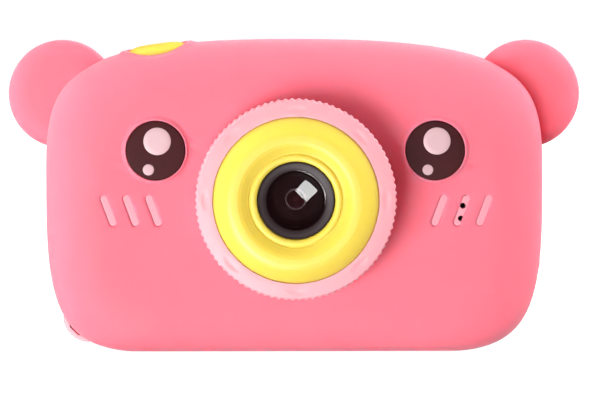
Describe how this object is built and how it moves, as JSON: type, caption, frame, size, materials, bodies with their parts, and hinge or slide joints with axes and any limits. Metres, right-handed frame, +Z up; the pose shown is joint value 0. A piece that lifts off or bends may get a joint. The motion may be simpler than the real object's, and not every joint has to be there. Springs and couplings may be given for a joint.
{
  "type": "toy camera",
  "caption": "Children's digital camera in a soft bear-shaped silicone sleeve with round ears, a knurled lens ring and a shutter button on top.",
  "frame": {"origin": "on the flat underside, below the lens and half way through the body's depth", "axes": "+X to the right seen from the front, -Y the way the lens faces, +Z up"},
  "size_m": [0.11, 0.0424, 0.0596],
  "materials": {
    "sleeve_silicone": "soft matt moulded silicone",
    "housing_plastic": "satin moulded plastic",
    "yellow_plastic": "smooth moulded plastic",
    "black_plastic": "smooth black moulded plastic",
    "eye_inlay": "glossy dark inlay",
    "clear_glass": "polished clear",
    "display_glass": "glossy dark cover plate",
    "circuit_board": "solder mask",
    "black_chip": "moulded epoxy",
    "bare_steel": "plated sheet",
    "battery_foil": "laminate pouch",
    "amber_film": "polyimide film",
    "red_wire": "insulation",
    "black_wire": "insulation"
  },
  "bodies": {
    "camera_body": {"silicone_sleeve": "sleeve_silicone", "left_eye_disc": "eye_inlay", "right_eye_disc": "eye_inlay", "front_housing": "housing_plastic", "rear_housing": "housing_plastic", "lens_trim_ring": "yellow_plastic", "lens_hood": "black_plastic", "lens_cover_glass": "clear_glass", "lens_barrel": "black_plastic", "lens_front_element": "clear_glass", "lens_holder": "black_plastic", "image_sensor": "black_chip", "sensor_board": "circuit_board", "sensor_flex": "amber_film", "main_board": "circuit_board", "processor_chip": "black_chip", "microphone": "bare_steel", "battery": "battery_foil", "battery_lead_red": "red_wire", "battery_lead_black": "black_wire", "speaker": "black_plastic", "speaker_lead_red": "red_wire", "speaker_lead_black": "black_wire", "usb_socket": "bare_steel", "card_socket": "bare_steel", "shutter_switch": "black_chip", "display_window": "display_glass", "display_module": "bare_steel", "display_flex": "amber_film", "key_board": "circuit_board", "key_dome_sheet": "bare_steel", "key_flex": "amber_film", "selfie_lens_bezel": "black_plastic", "selfie_lens_window": "clear_glass", "selfie_camera_module": "black_chip", "housing_screw_lower_left": "bare_steel", "housing_screw_lower_right": "bare_steel", "housing_screw_upper_left": "bare_steel", "housing_screw_upper_right": "bare_steel", "board_screw_upper": "bare_steel", "board_screw_lower": "bare_steel"},
    "lens_ring": {"knurled_ring": "housing_plastic"},
    "shutter": {"shutter_button": "yellow_plastic"},
    "up_button": {"up_key": "yellow_plastic"},
    "down_button": {"down_key": "yellow_plastic"},
    "left_button": {"left_key": "yellow_plastic"},
    "right_button": {"right_key": "yellow_plastic"},
    "ok_button": {"ok_key": "yellow_plastic"},
    "power_button": {"power_key": "yellow_plastic"},
    "mode_button": {"mode_key": "yellow_plastic"},
    "card": {"memory_card": "black_chip"},
    "port_flap": {"port_cover": "sleeve_silicone"}
  },
  "joints": [
    {"name": "lens_ring_turn", "type": "hinge", "parent": "camera_body", "child": "lens_ring", "pos_m": [0, -0.0203, 0.03], "axis": [0, -1, 0], "continuous": true},
    {"name": "shutter_press", "type": "slide", "parent": "camera_body", "child": "shutter", "axis": [0.1392, 0, -0.9903], "range_m": [0, 0.001], "stiffness_N_per_m": 1500},
    {"name": "up_press", "type": "slide", "parent": "camera_body", "child": "up_button", "axis": [0, -1, 0], "range_m": [0, 0.0006], "stiffness_N_per_m": 1500},
    {"name": "down_press", "type": "slide", "parent": "camera_body", "child": "down_button", "axis": [0, -1, 0], "range_m": [0, 0.0006], "stiffness_N_per_m": 1500},
    {"name": "left_press", "type": "slide", "parent": "camera_body", "child": "left_button", "axis": [0, -1, 0], "range_m": [0, 0.0006], "stiffness_N_per_m": 1500},
    {"name": "right_press", "type": "slide", "parent": "camera_body", "child": "right_button", "axis": [0, -1, 0], "range_m": [0, 0.0006], "stiffness_N_per_m": 1500},
    {"name": "ok_press", "type": "slide", "parent": "camera_body", "child": "ok_button", "axis": [0, -1, 0], "range_m": [0, 0.0006], "stiffness_N_per_m": 1500},
    {"name": "power_press", "type": "slide", "parent": "camera_body", "child": "power_button", "axis": [0, -1, 0], "range_m": [0, 0.0006], "stiffness_N_per_m": 1500},
    {"name": "mode_press", "type": "slide", "parent": "camera_body", "child": "mode_button", "axis": [0, -1, 0], "range_m": [0, 0.0006], "stiffness_N_per_m": 1500},
    {"name": "card_slide", "type": "slide", "parent": "camera_body", "child": "card", "axis": [1, 0, 0], "range_m": [0, 0.012]},
    {"name": "port_cover_swing", "type": "hinge", "parent": "camera_body", "child": "port_flap", "pos_m": [0.0466, -0.0005, 0.0149], "axis": [0, 1, 0], "range_deg": [0, 110]}
  ]
}
